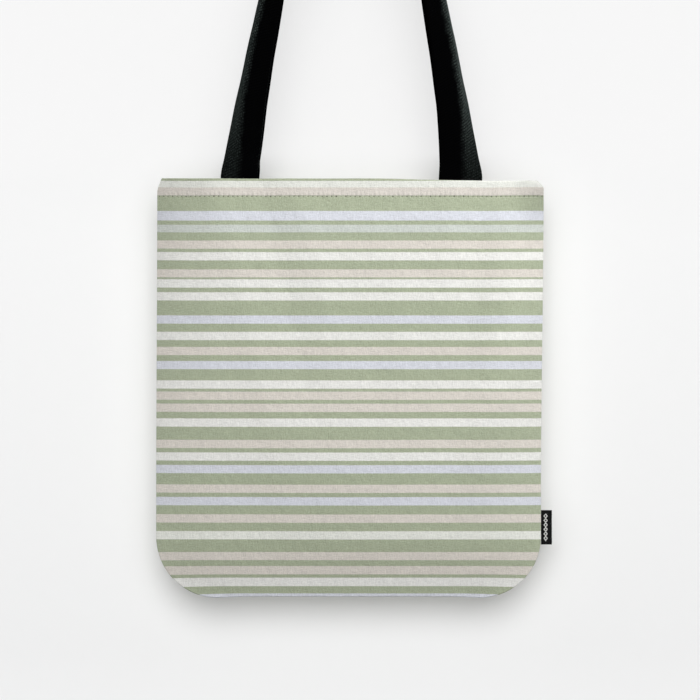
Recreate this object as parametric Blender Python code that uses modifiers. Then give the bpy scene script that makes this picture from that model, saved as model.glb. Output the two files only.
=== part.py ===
"""Canvas tote bag with two webbing handles and a woven side label.

Metres, +Z up. The bag hangs upright by its handles: the origin is the point where a peg
or a hand bears under the top of both handles. The front of the bag faces -Y, and its
width runs along X. The front half is modelled and the back half is its mirror image.
"""
from math import cos, pi, radians, sin, sqrt, tan

import bpy
from mathutils import Vector

# Driving dimensions, in metres and degrees
BAG_WIDTH = 0.382            # across the side seams
BAG_HEIGHT = 0.412           # from the hem to the bottom seam
CORNER_RADIUS = 0.060        # both bottom corners
CANVAS = 0.0010              # thickness of the cloth
MOUTH_DEPTH = 0.027          # how far each panel stands out at the mouth
UPRIGHT_BAND = 0.035         # height of the band under the hem that hangs upright
BOTTOM_ROLL = 0.040          # height over which the panels close in to the bottom seam
LOW_SHARE = 0.25             # share of the mouth depth that the taper aims at, at the bottom
FLAT_SHARE = 0.70            # share of the half width that is flat cloth
HEM_DEPTH = 0.0195           # the turned-in hem
GAP = 0.0003                 # clearance between touching pieces

STRAP_INNER = 0.021          # webbing width from its fold line to the edge near the middle
STRAP_OUTER = 0.019          # webbing width from its fold line to the edge near the seam
STRAP_THICKNESS = 0.0016
STRAP_TAIL = 0.028           # length sewn inside the hem
HANDLE_DROP = 0.280          # from the hem to the underside of the handle's top
HANDLE_LEAN = 0.7            # degrees that each handle leans in over the mouth
JOINT_RISE = 0.0010          # height of the handle's hinge line over the hem

THREAD_RADIUS = 0.00025
OVERLOCK_RADIUS = 0.0008
SEAM_ALLOWANCE = 0.009       # width of the raw edges inside the seam
ALLOWANCE_INSET = 0.001      # from the seam's edge to the allowance
SEAM_STITCH_INSET = 0.0035   # from the seam's edge to the row that closes it
HEM_STITCH_RISE = 0.0012     # from the turned-in edge up to the row that holds the hem

BOX_STITCH = (0.032, 0.011)  # outside width and height
BOX_STITCH_LINE = 0.0008     # width of its stitched line
BOX_STITCH_RISE = 0.0004     # how far the thread stands up
BOX_STITCH_DROP = 0.009      # from the hem down to its centre

LABEL_WIDTH = 0.0107         # how far the label stands out of the seam
LABEL_HEIGHT = 0.033
LABEL_THICKNESS = 0.0008     # two layers of woven tape
LABEL_DROP = 0.342           # from the hem down to the label's middle
LABEL_GAP = 0.0009           # from the seam's edge to the label

# Each handle's fold line: height over the hem, distance from the middle (both in mm),
# and how far the webbing turns about that line on its inner and outer side (degrees).
HANDLE_ROUTE = (
    (1.15, 108.6, 0, 0),
    (8, 108.6, -8, 14),
    (20, 108.5, -15, 34),
    (45, 107.9, -8, 54),
    (74, 105.9, 0, 67),
    (97, 102.8, 2, 74),
    (128, 98.4, 6, 80),
    (152, 93.7, 16, 82),
    (175, 89.1, 24, 83),
    (200, 83.3, 36, 84),
    (225, 75.0, 52, 86),
    (245, 64.5, 68, 88),
    (260, 51.0, 80, 89),
    (271, 35.0, 87, 90),
    (278.2, 17.5, 90, 90),
    (280.8, 0.0, 90, 90),
)
ROUTE_STEPS = 3              # sections between two points of the route
ACROSS = (-1.0, -0.55, -0.2, -0.07, 0.0, 0.07, 0.25, 0.6, 1.0)   # stations across the webbing
FOLD_WIDTH = 0.010           # stretch of the webbing that the fold takes up

HEM = -HANDLE_DROP                                 # height of the mouth
BOTTOM = HEM - BAG_HEIGHT
HALF = BAG_WIDTH / 2
FOLD_RADIUS = (CANVAS + GAP) / 2                   # of the cloth's middle, at the hem
EDGE = GAP / 2 + CANVAS / 2 + 2 * FOLD_RADIUS      # panel's middle at the seam, from y = 0
STRAP_Y = EDGE + MOUTH_DEPTH - 2 * FOLD_RADIUS - CANVAS / 2 - GAP - STRAP_THICKNESS / 2
HINGE_Y = EDGE + MOUTH_DEPTH - 0.00055             # handle's hinge line, from y = 0

SAGE = (0.36, 0.44, 0.31)
BLACK = (0.012, 0.014, 0.014)
SAGE_THREAD = (0.42, 0.47, 0.38)


def clear_scene():
    for thing in list(bpy.data.objects):
        bpy.data.objects.remove(thing, do_unlink=True)


def collect(thing, name, colour, roughness):
    """Name an object, put it in the bag's collection and give it its own material."""
    thing.name = name
    thing.data.name = name
    for other in list(thing.users_collection):
        other.objects.unlink(thing)
    bag.objects.link(thing)
    material = bpy.data.materials.new(name)
    material.use_nodes = True
    shader = material.node_tree.nodes["Principled BSDF"]
    shader.inputs["Base Color"].default_value = (*colour, 1.0)
    shader.inputs["Roughness"].default_value = roughness
    shader.inputs["Metallic"].default_value = 0.0
    thing.data.materials.clear()
    thing.data.materials.append(material)
    return thing


def sheet(name, columns, rows, place, thickness, colour, roughness):
    """A cloth sheet: a grid whose corner i, j goes to place(column, row), made thick."""
    bpy.ops.mesh.primitive_grid_add(
        x_subdivisions=len(columns) - 1, y_subdivisions=len(rows) - 1, size=1.0)
    thing = bpy.context.object
    for vertex in thing.data.vertices:
        i = round((vertex.co.x + 0.5) * (len(columns) - 1))
        j = round((vertex.co.y + 0.5) * (len(rows) - 1))
        vertex.co = place(columns[i], rows[j])
    solid = thing.modifiers.new("thickness", "SOLIDIFY")
    solid.thickness = thickness
    solid.offset = 0.0
    solid.use_even_offset = True
    return collect(thing, name, colour, roughness)


def tube(name, points, radius, colour, roughness):
    """A thread that follows the points, with closed ends."""
    curve = bpy.data.curves.new(name, "CURVE")
    curve.dimensions = "3D"
    spline = curve.splines.new("POLY")
    spline.points.add(len(points) - 1)
    for point, place in zip(spline.points, points):
        point.co = (*place, 1.0)
    curve.bevel_depth = radius
    curve.bevel_resolution = 1
    curve.use_fill_caps = True
    return collect(bpy.data.objects.new(name, curve), name, colour, roughness)


def plate(name, outlines, thickness, y, colour, roughness):
    """A flat plate that stands in the XZ plane; outlines after the first are holes."""
    curve = bpy.data.curves.new(name, "CURVE")
    curve.dimensions = "2D"
    curve.fill_mode = "BOTH"
    curve.extrude = thickness / 2
    for outline in outlines:
        spline = curve.splines.new("POLY")
        spline.points.add(len(outline) - 1)
        for point, (x, z) in zip(spline.points, outline):
            point.co = (x, z, 0.0, 1.0)
        spline.use_cyclic_u = True
    thing = bpy.data.objects.new(name, curve)
    thing.location.y = y
    thing.rotation_euler.x = pi / 2
    return collect(thing, name, colour, roughness)


def box(name, size, middle, colour, roughness):
    """A box of a given size, with the scale applied and its edges eased."""
    bpy.ops.mesh.primitive_cube_add(size=1.0)
    thing = bpy.context.object
    for vertex in thing.data.vertices:
        vertex.co = Vector(a * b for a, b in zip(vertex.co, size))
    thing.location = middle
    ease = thing.modifiers.new("eased edges", "BEVEL")
    ease.width = min(size) / 4
    ease.segments = 1
    return collect(thing, name, colour, roughness)


# The panels

def half_width(height):
    """Half the bag's width at a height over the bottom seam, round the corners."""
    if height >= CORNER_RADIUS:
        return HALF
    rise = CORNER_RADIUS - max(height, 0.0)
    return HALF - CORNER_RADIUS + sqrt(CORNER_RADIUS ** 2 - rise ** 2)


def stand_out(height):
    """How far the flat middle of a panel stands out from the seam at a height."""
    top = BAG_HEIGHT - UPRIGHT_BAND
    share = 1.0 if height >= top else LOW_SHARE + (1 - LOW_SHARE) * height / top
    if height < BOTTOM_ROLL:
        share *= sin(pi / 2 * height / BOTTOM_ROLL)
    return MOUTH_DEPTH * share


def panel_point(across, row):
    """The panel's middle surface. row is (height over the seam, shift into the bag)."""
    height, inward = row
    flank = max(0.0, (abs(across) - FLAT_SHARE) / (1 - FLAT_SHARE))
    out = EDGE + stand_out(height) * cos(pi / 2 * flank) - inward
    return Vector((across * half_width(height), -out, BOTTOM + height))


def panel_columns():
    flanks = (0.76, 0.82, 0.88, 0.94, 0.98, 1.0)
    middle = (0.0, 0.35, FLAT_SHARE)
    right = middle + flanks
    return tuple(-x for x in reversed(right[1:])) + right


def panel_rows():
    """Up the outside from the bottom seam, over the hem's fold and down the inside."""
    round_corner = [CORNER_RADIUS * (1 - cos(radians(a))) for a in (0, 18, 30, 42, 54, 66, 78, 90)]
    top = BAG_HEIGHT - CANVAS / 2
    fold_start = top - FOLD_RADIUS
    upright = (0.14, 0.24, BAG_HEIGHT - UPRIGHT_BAND, BAG_HEIGHT - HEM_DEPTH, fold_start)
    rows = [(height, 0.0) for height in (*round_corner, *upright)]
    for angle in (30, 60, 90, 120, 150, 180):
        a = radians(angle)
        rows.append((fold_start + FOLD_RADIUS * sin(a), FOLD_RADIUS * (1 - cos(a))))
    rows.append((BAG_HEIGHT - HEM_DEPTH, 2 * FOLD_RADIUS))
    return rows


def mirrored(place):
    """The same place function for the back half of the bag."""
    def back(column, row):
        point = place(column, row)
        return Vector((point.x, -point.y, point.z))
    return back


def build_panels():
    columns, rows = panel_columns(), panel_rows()
    sheet("front_panel", columns, rows, panel_point, CANVAS, SAGE, 0.85)
    sheet("back_panel", columns, rows, mirrored(panel_point), CANVAS, SAGE, 0.85)


def build_hem_threads():
    """One row of stitching along the lower edge of each turned-in hem, on the outside."""
    height = BAG_HEIGHT - HEM_DEPTH + HEM_STITCH_RISE
    lift = CANVAS / 2 + GAP + THREAD_RADIUS
    for side, name in ((1, "front_hem_thread"), (-1, "back_hem_thread")):
        run = []
        for across in panel_columns()[1:-1]:
            before = panel_point(across - 0.01, (height, 0.0))
            after = panel_point(across + 0.01, (height, 0.0))
            along = (after - before).normalized()
            point = panel_point(across, (height, 0.0)) + lift * Vector((along.y, -along.x, 0.0))
            run.append((point.x, side * point.y, point.z))
        tube(name, run, THREAD_RADIUS, SAGE_THREAD, 0.7)


# The seam that joins the panels

def seam_line(inset, top):
    """(x, z) points of a line at an inset from the seam: down, round, along, round and up."""
    radius = CORNER_RADIUS - inset
    steps = 9
    left = [(-(HALF - inset), top - (top - BOTTOM - CORNER_RADIUS) * k / 4) for k in range(4)]
    for k in range(steps + 1):
        a = pi / 2 * k / steps
        left.append((-(HALF - CORNER_RADIUS) - radius * cos(a),
                     BOTTOM + CORNER_RADIUS - radius * sin(a)))
    return left + [(-x, z) for x, z in reversed(left)]


def build_seam():
    top = HEM - HEM_DEPTH - 0.002
    outer = seam_line(ALLOWANCE_INSET, top)
    inner = seam_line(ALLOWANCE_INSET + SEAM_ALLOWANCE, top)
    plate("seam_allowance", [outer + inner[::-1]], 2 * CANVAS, 0.0, (0.80, 0.79, 0.75), 0.9)
    stitch_y = -(CANVAS + GAP + THREAD_RADIUS)
    stitch = [(x, stitch_y, z) for x, z in seam_line(SEAM_STITCH_INSET, top - 0.002)]
    tube("seam_thread", stitch, THREAD_RADIUS, SAGE_THREAD, 0.7)
    edge = ALLOWANCE_INSET + SEAM_ALLOWANCE + GAP + OVERLOCK_RADIUS
    overlock = [(x, 0.0, z) for x, z in seam_line(edge, top - 0.002)]
    tube("overlock_thread", overlock, OVERLOCK_RADIUS, (0.78, 0.77, 0.72), 0.8)


# The handles

def smooth_route(route, steps):
    """Points of a Catmull-Rom curve through the route, with its ends extended."""
    ends = [[2 * a - b for a, b in zip(route[0], route[1])], *route,
            [-route[-2][1] if k == 1 else v for k, v in enumerate(route[-2])]]
    found = []
    for p0, p1, p2, p3 in zip(ends, ends[1:], ends[2:], ends[3:]):
        for step in range(steps):
            t = step / steps
            found.append([
                b + 0.5 * t * (c - a + t * (2 * a - 5 * b + 4 * c - d + t * (3 * (b - c) + d - a)))
                for a, b, c, d in zip(p0, p1, p2, p3)])
    return found + [list(route[-1])]


def handle_sections():
    """(fold point, direction out of the arch, inner turn, outer turn) from left to right."""
    left = smooth_route(HANDLE_ROUTE, ROUTE_STEPS)
    rows = [(-x, h, a, b) for h, x, a, b in left]
    rows += [(x, h, a, b) for h, x, a, b in reversed(left[:-1])]
    sections = []
    for k, (x, h, inner, outer) in enumerate(rows):
        before, after = rows[max(k - 1, 0)], rows[min(k + 1, len(rows) - 1)]
        along = Vector((after[0] - before[0], 0.0, after[1] - before[1])).normalized()
        if k in (0, len(rows) - 1):
            along = Vector((0.0, 0.0, 1.0 if k == 0 else -1.0))
        out = Vector((-along.z, 0.0, along.x))
        height = h / 1000
        y = -STRAP_Y + (height - JOINT_RISE) * tan(radians(HANDLE_LEAN))
        fold = Vector((x / 1000, y, HEM + height))
        sections.append((fold, out, radians(inner), radians(outer)))
    return sections


def handle_point(across, section):
    """A point of the webbing: across runs from -1, its inner edge, to 1, its outer edge."""
    fold, out, inner, outer = section
    reach = STRAP_OUTER if across > 0 else STRAP_INNER
    side = 1 if across > 0 else -1
    back = Vector((0.0, 1.0, 0.0))
    steps = 12
    point = fold.copy()
    for step in range(steps):
        gone = abs(across) * reach * (step + 0.5) / steps
        blend = min(1.0, max(0.0, 0.5 + side * gone / FOLD_WIDTH))
        turn = inner + (outer - inner) * blend
        point += side * abs(across) * reach / steps * (cos(turn) * out + sin(turn) * back)
    return point


def build_handles():
    sections = handle_sections()
    sheet("front_handle", ACROSS, sections, handle_point, STRAP_THICKNESS, BLACK, 0.9)
    sheet("back_handle", ACROSS, sections, mirrored(handle_point), STRAP_THICKNESS, BLACK, 0.9)


def box_stitch_outlines(x, z):
    """A stitched rectangle with both diagonals: its outside and the four gaps within."""
    wide, high = BOX_STITCH[0] / 2, BOX_STITCH[1] / 2
    line = BOX_STITCH_LINE
    corners = [(-wide, -high), (wide, -high), (wide, high), (-wide, high)]
    in_w, in_h = wide - line, high - line
    slant = sqrt(in_w ** 2 + in_h ** 2)
    clear_w, clear_h = line / 2 * slant / in_h, line / 2 * slant / in_w
    gaps = []
    for side in (-1, 1):
        gaps.append([(-in_w + clear_w, side * in_h), (in_w - clear_w, side * in_h),
                     (0.0, side * clear_h)])
        gaps.append([(side * in_w, -in_h + clear_h), (side * in_w, in_h - clear_h),
                     (side * clear_w, 0.0)])
    return [[(x + a, z + b) for a, b in outline] for outline in (corners, *gaps)]


def build_strap_ends():
    """The four ends of the webbing, sewn to the inside of the hem, and their stitching."""
    middle = HANDLE_ROUTE[0][1] / 1000 + (STRAP_OUTER - STRAP_INNER) / 2
    top = JOINT_RISE - GAP / 2
    length = STRAP_TAIL + top
    size = (STRAP_INNER + STRAP_OUTER, STRAP_THICKNESS, length)
    stitch_y = STRAP_Y - STRAP_THICKNESS / 2 - GAP - BOX_STITCH_RISE / 2
    for depth, near in ((-1, "front"), (1, "back")):
        for side, hand in ((-1, "left"), (1, "right")):
            x = side * middle
            place = (x, depth * STRAP_Y, HEM + top - length / 2)
            box(f"{near}_{hand}_strap_end", size, place, BLACK, 0.9)
            plate(f"{near}_{hand}_box_stitch", box_stitch_outlines(x, HEM - BOX_STITCH_DROP),
                  BOX_STITCH_RISE, depth * stitch_y, (0.03, 0.03, 0.03), 0.7)


def build_label():
    """The woven label: a folded tab whose origin is on its hinge line at the seam."""
    hinge_x = HALF + 0.0006
    size = (LABEL_WIDTH, LABEL_THICKNESS, LABEL_HEIGHT)
    start = HALF + LABEL_GAP - hinge_x
    label = box("side_label", size, (hinge_x, 0.0, HEM - LABEL_DROP), (0.01, 0.01, 0.01), 0.6)
    for vertex in label.data.vertices:
        vertex.co.x += start + LABEL_WIDTH / 2


def set_hinge_origins():
    """Put each handle's origin on its hinge line without moving its shape."""
    for name, side in (("front_handle", -1), ("back_handle", 1)):
        handle = bpy.data.objects[name]
        hinge = Vector((0.0, side * HINGE_Y, HEM + JOINT_RISE))
        for vertex in handle.data.vertices:
            vertex.co -= hinge
        handle.location = hinge


clear_scene()
bag = bpy.data.collections.new("canvas_tote_bag")
bpy.context.scene.collection.children.link(bag)
build_panels()
build_hem_threads()
build_seam()
build_handles()
build_strap_ends()
build_label()
set_hinge_origins()
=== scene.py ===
"""The looks of the canvas tote bag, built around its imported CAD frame.

Metres, +Z up, the front of the bag faces -Y. The two panels are sheets of printed canvas,
cut and folded as the real ones are: their edges turn in at the seam and their tops turn in
as the hem. The handles are one length of woven webbing each. Every row of stitching is a
row of separate stitches.
"""

from math import cos, exp, pi, radians, sin, tan

import bpy
import numpy as np
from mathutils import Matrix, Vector, noise


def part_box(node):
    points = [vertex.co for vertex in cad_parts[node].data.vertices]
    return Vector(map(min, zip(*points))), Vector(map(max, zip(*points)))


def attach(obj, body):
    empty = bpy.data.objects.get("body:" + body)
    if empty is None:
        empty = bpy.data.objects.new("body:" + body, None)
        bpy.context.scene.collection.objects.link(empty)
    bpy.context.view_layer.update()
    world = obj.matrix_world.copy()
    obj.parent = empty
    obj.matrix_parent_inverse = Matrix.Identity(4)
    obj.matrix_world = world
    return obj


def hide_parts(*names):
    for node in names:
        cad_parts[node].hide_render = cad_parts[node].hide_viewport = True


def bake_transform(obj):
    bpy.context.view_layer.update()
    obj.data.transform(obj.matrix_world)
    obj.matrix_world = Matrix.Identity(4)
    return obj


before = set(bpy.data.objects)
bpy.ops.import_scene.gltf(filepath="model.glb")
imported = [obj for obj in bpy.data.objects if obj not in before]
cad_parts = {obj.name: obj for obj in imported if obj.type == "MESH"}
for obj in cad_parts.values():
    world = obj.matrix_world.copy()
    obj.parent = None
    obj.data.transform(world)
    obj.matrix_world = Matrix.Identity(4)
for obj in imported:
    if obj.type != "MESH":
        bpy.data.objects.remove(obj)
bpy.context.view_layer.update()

MM = 0.001

# The bag's own dimensions, in metres. They are the CAD's, apart from three that were measured
# again for the looks: the bottom roll and the label's place and height.
_, panel_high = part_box("front_panel")
HEM = panel_high.z          # height of the mouth
BOTTOM = HEM - 0.412        # height of the bottom seam
BAG_HEIGHT = HEM - BOTTOM
HALF = 0.191                # half the width across the side seams
CORNER_RADIUS = 0.060
CANVAS = 0.0010             # thickness of the cloth
MOUTH_DEPTH = 0.027         # how far each panel stands out at the mouth
UPRIGHT_BAND = 0.035        # height of the band under the hem that hangs upright
BOTTOM_ROLL = 0.057         # height over which the panels close in to the bottom seam
LOW_SHARE = 0.25            # share of the mouth depth that the taper aims at, low down
FLAT_SHARE = 0.70           # share of the half width that is flat cloth
HEM_DEPTH = 0.0195          # depth of the turned-in hem
GAP = 0.0003                # clearance between touching pieces
FOLD_RADIUS = (CANVAS + GAP) / 2  # of the cloth's middle, where it folds flat
ALLOWANCE = 0.009           # width of the raw edges inside the seam
ALLOWANCE_Y = CANVAS / 2 + 0.00005  # middle of one panel's raw edge, from the mid-plane
SEAM_STITCH_INSET = 0.0035  # from the seam's edge to the row that closes it
SEAM_TILT = radians(25)     # how far the cloth has turned where the seam's fold begins
EDGE_INSET = CANVAS / 2 + FOLD_RADIUS * (1 - sin(SEAM_TILT))  # outline to where the fold begins
EDGE_OUT = ALLOWANCE_Y + FOLD_RADIUS * (1 + cos(SEAM_TILT))  # the cloth's middle there

STRAP_INNER = 0.021         # webbing width from its fold line to the edge near the middle
STRAP_OUTER = 0.019
STRAP_THICKNESS = 0.0016
STRAP_TAIL = 0.028          # length sewn inside the hem
STRAP_Y = 0.00195 + MOUTH_DEPTH - 2 * FOLD_RADIUS - CANVAS / 2 - GAP - STRAP_THICKNESS / 2
HANDLE_LEAN = radians(0.7)
JOINT_RISE = 0.0010         # height of the handle's hinge line over the hem
BEND_BAND = (0.0002, 0.0085)  # heights over the hem between which the handle bends
FOLD_WIDTH = 0.010          # stretch of webbing that its lengthwise fold takes up
ARCH_SWAY = 0.0022          # how far the arch leans to the right
LEFT_CURL = radians(32)     # how far the left strap's inner side curls back, low down
LEFT_TUCK = 0.0050          # how much narrower that side is where it leaves the hem
# The handle's fold line: height over the hem and distance from the middle (mm), and how
# far the webbing turns about that line on its inner and its outer side (degrees).
HANDLE_ROUTE = (
    (1.15, 108.6, 0, 0),
    (8, 108.6, -8, 14),
    (20, 108.5, -15, 34),
    (45, 107.9, -8, 54),
    (74, 105.9, 0, 67),
    (97, 102.8, 2, 74),
    (128, 98.4, 6, 80),
    (152, 93.7, 16, 82),
    (175, 89.1, 24, 83),
    (200, 83.3, 36, 84),
    (225, 75.0, 52, 86),
    (245, 64.5, 68, 88),
    (260, 51.0, 80, 89),
    (271, 35.0, 87, 90),
    (278.2, 17.5, 90, 90),
    (280.8, 0.0, 90, 90),
)

# How the cloth really hangs. Each soft fold: place across (mm from the middle), place down
# from the hem (mm), half width and half length (mm), lean (degrees) and height (mm).
FRONT_FOLDS = (
    (-154, 80, 16, 230, 2, -1.8),     # the left flank, drawn in
    (-110, 100, 14, 160, 12, 2.0),    # ridge from the left strap down to the right
    (-68, 90, 13, 150, 12, -1.9),     # valley beside it
    (-43, 50, 12, 70, 12, 1.1),
    (-20, 150, 16, 90, 10, 0.7),
    (95, 45, 14, 100, -2, 1.7),       # ridge at the right strap
    (128, 70, 13, 120, -6, -2.4),     # valley outside it, running down to the left
    (161, 60, 12, 100, -4, 1.2),
    (105, 205, 21, 90, -20, -4.6),    # the same valley lower down
    (146, 210, 21, 90, -20, 3.4),     # and the ridge outside it
    (166, 24, 7, 24, 6, -1.6),        # pinch under the right corner
    (187, -4, 23, 44, 0, 8.0),        # the right top corner, pushed out
    (166, 150, 14, 70, 0, 2.2),       # ridge beside the right seam
    (52, 180, 15, 60, -6, 1.1),
    (22, 190, 14, 50, 0, -0.9),
    (-60, 235, 40, 90, 20, 1.2),
    (-95, 330, 40, 60, 20, -1.2),
    (20, 300, 60, 50, 0, 0.8),
    (0, 290, 170, 90, 0, 5.0),        # the belly, low down
)
BACK_FOLDS = (
    (112, 40, 14, 110, 0, 1.2),
    (74, 50, 14, 90, 4, -1.1),
    (-96, 45, 13, 100, 0, 1.0),
    (-130, 80, 14, 130, 6, -1.3),
    (-70, 220, 34, 110, 24, -1.1),
    (50, 190, 40, 90, -14, 1.0),
    (0, 345, 95, 55, 0, 6.0),         # the belly, low down
)
LEAN_LEFT = 0.0019          # how far the seams wander to the left, low down
RIGHT_DROP = 0.0022         # how much lower the hem's top is at the right
LEFT_CORNER = (0.0045, 0.013)  # how far a top corner is pulled in, and over what height
RIGHT_CORNER = (0.0070, 0.0080)
SEAM_RISE = 0.0019          # how much higher the cloth hangs at the seams, at the top
RISE_FROM = 0.24            # height over the bottom seam where that begins

STITCH_ROW = HEM_DEPTH - 0.0012  # from the hem's top down to its row of stitches
STITCH_PITCH = 0.0046
STITCH_LENGTH = 0.0033
THREAD_RADIUS = 0.00025
HEM_SHADE = 0.92             # painted shade: two layers let less light through than one

LABEL_DROP = 0.3436         # from the hem down to the label's middle
LABEL_HEIGHT = 0.034
LABEL_WIDTH = 0.0107        # how far the label stands out of the seam
LABEL_THICKNESS = 0.0008

# Colours, as shares of the light that comes back (red, green, blue)
SAGE = (0.398, 0.441, 0.316)
PRINT = {
    "ivory": (0.805, 0.802, 0.771),
    "cream": (0.780, 0.789, 0.736),
    "beige": (0.688, 0.646, 0.590),
    "blue": (0.671, 0.688, 0.745),
    "mint": (0.582, 0.614, 0.576),
}
# The printed stripes from the hem's top down: sage above, the stripe's width (mm), colour
STRIPES = (
    (2.9, 6.4, "cream"), (0.0, 7.8, "beige"), (15.2, 9.3, "blue"), (4.1, 7.4, "mint"),
    (8.0, 8.0, "beige"), (3.3, 8.1, "ivory"), (8.8, 7.8, "beige"), (1.9, 8.2, "ivory"),
    (4.4, 8.1, "ivory"), (14.6, 8.1, "blue"), (8.0, 8.1, "ivory"), (6.7, 8.0, "beige"),
    (5.8, 8.0, "blue"), (11.0, 8.1, "ivory"), (2.9, 8.1, "beige"), (3.7, 8.2, "beige"),
    (6.3, 8.2, "ivory"), (12.9, 8.1, "beige"), (4.2, 8.1, "ivory"), (4.3, 8.1, "blue"),
    (11.1, 8.1, "beige"), (4.2, 8.2, "blue"), (8.9, 8.2, "beige"), (8.4, 8.2, "cream"),
    (12.5, 8.1, "beige"), (5.9, 8.4, "beige"), (3.3, 8.6, "ivory"), (7.3, 20.0, "blue"),
)
RAW_CANVAS = (0.72, 0.70, 0.64)
SAGE_THREAD = (0.52, 0.54, 0.42)
NATURAL_THREAD = (0.74, 0.72, 0.66)
BLACK_THREAD = (0.010, 0.010, 0.011)
BLACK_SHADED = (0.0004, 0.0004, 0.0005)  # painted shade: webbing in the lee of its fold
BLACK_LIT = (0.0088, 0.0110, 0.0103)  # painted light: webbing that its fold turns to the side lights
LABEL_BLACK = (0.003, 0.003, 0.003)
LABEL_MOTIF = (0.78, 0.78, 0.75)

WALL_Y = 0.0465             # the backdrop, just behind the back handle
FLOOR_Z = -1.05
# The wall's colour holds painted light: lighter at the top, darker towards the bottom.
WALL_HIGH = (0.936, 0.936, 0.936)
WALL_LOW = (0.860, 0.862, 0.862)
AROUND = (0.925, 0.925, 0.925)  # the floor, and what is seen past the stage
WALL_GRADE = (BOTTOM - 0.10, HEM - 0.06)  # heights between which the wall goes from low to high, painted light: darker towards the bottom
GLOW_ABOVE = (HEM - 0.005, HEM + 0.03)  # and over which it begins to glow behind the handles, painted light that makes their shadows faint
GLOW_BELOW = (-0.80, FLOOR_Z)  # and down by the floor

# How the canvas is woven, printed and sewn
YARN = 0.00085              # from one yarn to the next
YARN_STREAK = 0.006         # length over which a yarn keeps its tone
YARN_TONES = (0.75, 1.00)
WEAVE_SHADE_TONES = (0.95, 1.03)  # painted shade between the yarns, and the tone on top of them
PRINT_WANDER = 0.0002       # how far a stripe's edge strays
GRAIN = 0.0010              # width of the print's fine grain
GRAIN_DEPTHS = (0.60, 0.24)  # of the grain, on dark and on pale ink
INK_PALENESS = (0.35, 0.70)  # where an ink counts as dark and as pale
STAIN = 0.045               # width of the faint uneven patches
STAIN_TONES = (0.985, 1.015)
CORNER_SHADE_AT = (0.188, 0.014, 0)  # painted shade on the print round the right top corner: across, down
CORNER_SHADE_REACH = (0.004, 0.044)
CORNER_SHADE_TONE = 0.82
SEED_FLECK = (0.46, 0.40, 0.30)  # colour of the specks in raw canvas
SEED_SHARE = 0.74           # noise over which there is a speck
HOLE_LIFT = 0.0004          # needle holes, painted as dark shade: how far over the row of stitches
HOLE_EDGE = (0.0005, 0.0010)  # radius that is dark, and where the hole ends
HOLE_DEPTHS = (-0.3, 1.25)
TURN_EDGE = (-0.0010, 0.0004)  # where the hem's second layer ends, from the row
PULL_RELIEF = 0.22          # cloth drawn in between two stitches
PULL_HEIGHT = 0.0022

# How the webbing is woven, and where its light and shade are painted
RIB = 0.0020                # from one lengthwise rib to the next
PICK = 0.0029               # from one cross yarn to the next
PICK_STEP = 0.0009          # how much higher each rib's cross yarns lie
WEBBING_SHADE_TONES = (0.12, 2.45)  # painted shade between the yarns and painted light on top of them
STREAK_TONES = (0.80, 1.20)
SPECK_TONES = (0.15, 1.85)
LIT_EDGE = (-0.003, 0.006)  # where the painted light begins, across the webbing
LIT_WANDER = 0.003
LIT_SHIFT = (0.10, 0.20, 0.004)  # from and to that far along, the painted light's edge moves this far
# Where the painted light fades at the selvedge, and how far
SELVEDGE = (0.0170, 0.0185)
SELVEDGE_TONE = 0.4
LIT_GAIN_REACH = 0.085         # length past the sewn end over which the painted light gets stronger
LIT_GAIN_TONES = (0.45, 2.0)

# The label's motif: a chain of diamonds
DIAMOND_PITCH = 0.0044
DIAMOND_HALF = 0.0017       # half the width of a diamond's outline
DIAMOND_LINE = 0.00055      # half the width of the line
MOTIF_MIDDLE = 0.44         # place across the label, as a share of its width
MOTIF_HALF_LENGTH = 0.0135
LABEL_START = 0.02          # what the label's middle counts as, down its tape


# Shader helpers

class Value:
    """What one output of a node gives. Operators on it add the nodes that reckon with it."""

    def __init__(self, nodes, socket):
        self.nodes = nodes
        self.socket = socket

    def __add__(self, other):
        return self.nodes.math("ADD", self, other)

    def __sub__(self, other):
        return self.nodes.math("SUBTRACT", self, other)

    def __mul__(self, other):
        return self.nodes.math("MULTIPLY", self, other)

    def __truediv__(self, other):
        return self.nodes.math("DIVIDE", self, other)

    def __abs__(self):
        return self.nodes.math("ABSOLUTE", self)


class Nodes:
    """A node tree, with short ways to add and join its nodes."""

    def __init__(self, owner):
        owner.use_nodes = True
        self.tree = owner.node_tree

    def join(self, value, socket):
        if isinstance(value, Value):
            self.tree.links.new(value.socket, socket)
        else:
            socket.default_value = value

    def add(self, kind, inputs=(), **settings):
        made = self.tree.nodes.new(kind)
        for key, value in settings.items():
            setattr(made, key, value)
        for socket, value in dict(inputs).items():
            self.join(value, made.inputs[socket])
        return made

    def value(self, kind, inputs=(), output=0, **settings):
        return Value(self, self.add(kind, inputs, **settings).outputs[output])


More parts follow.
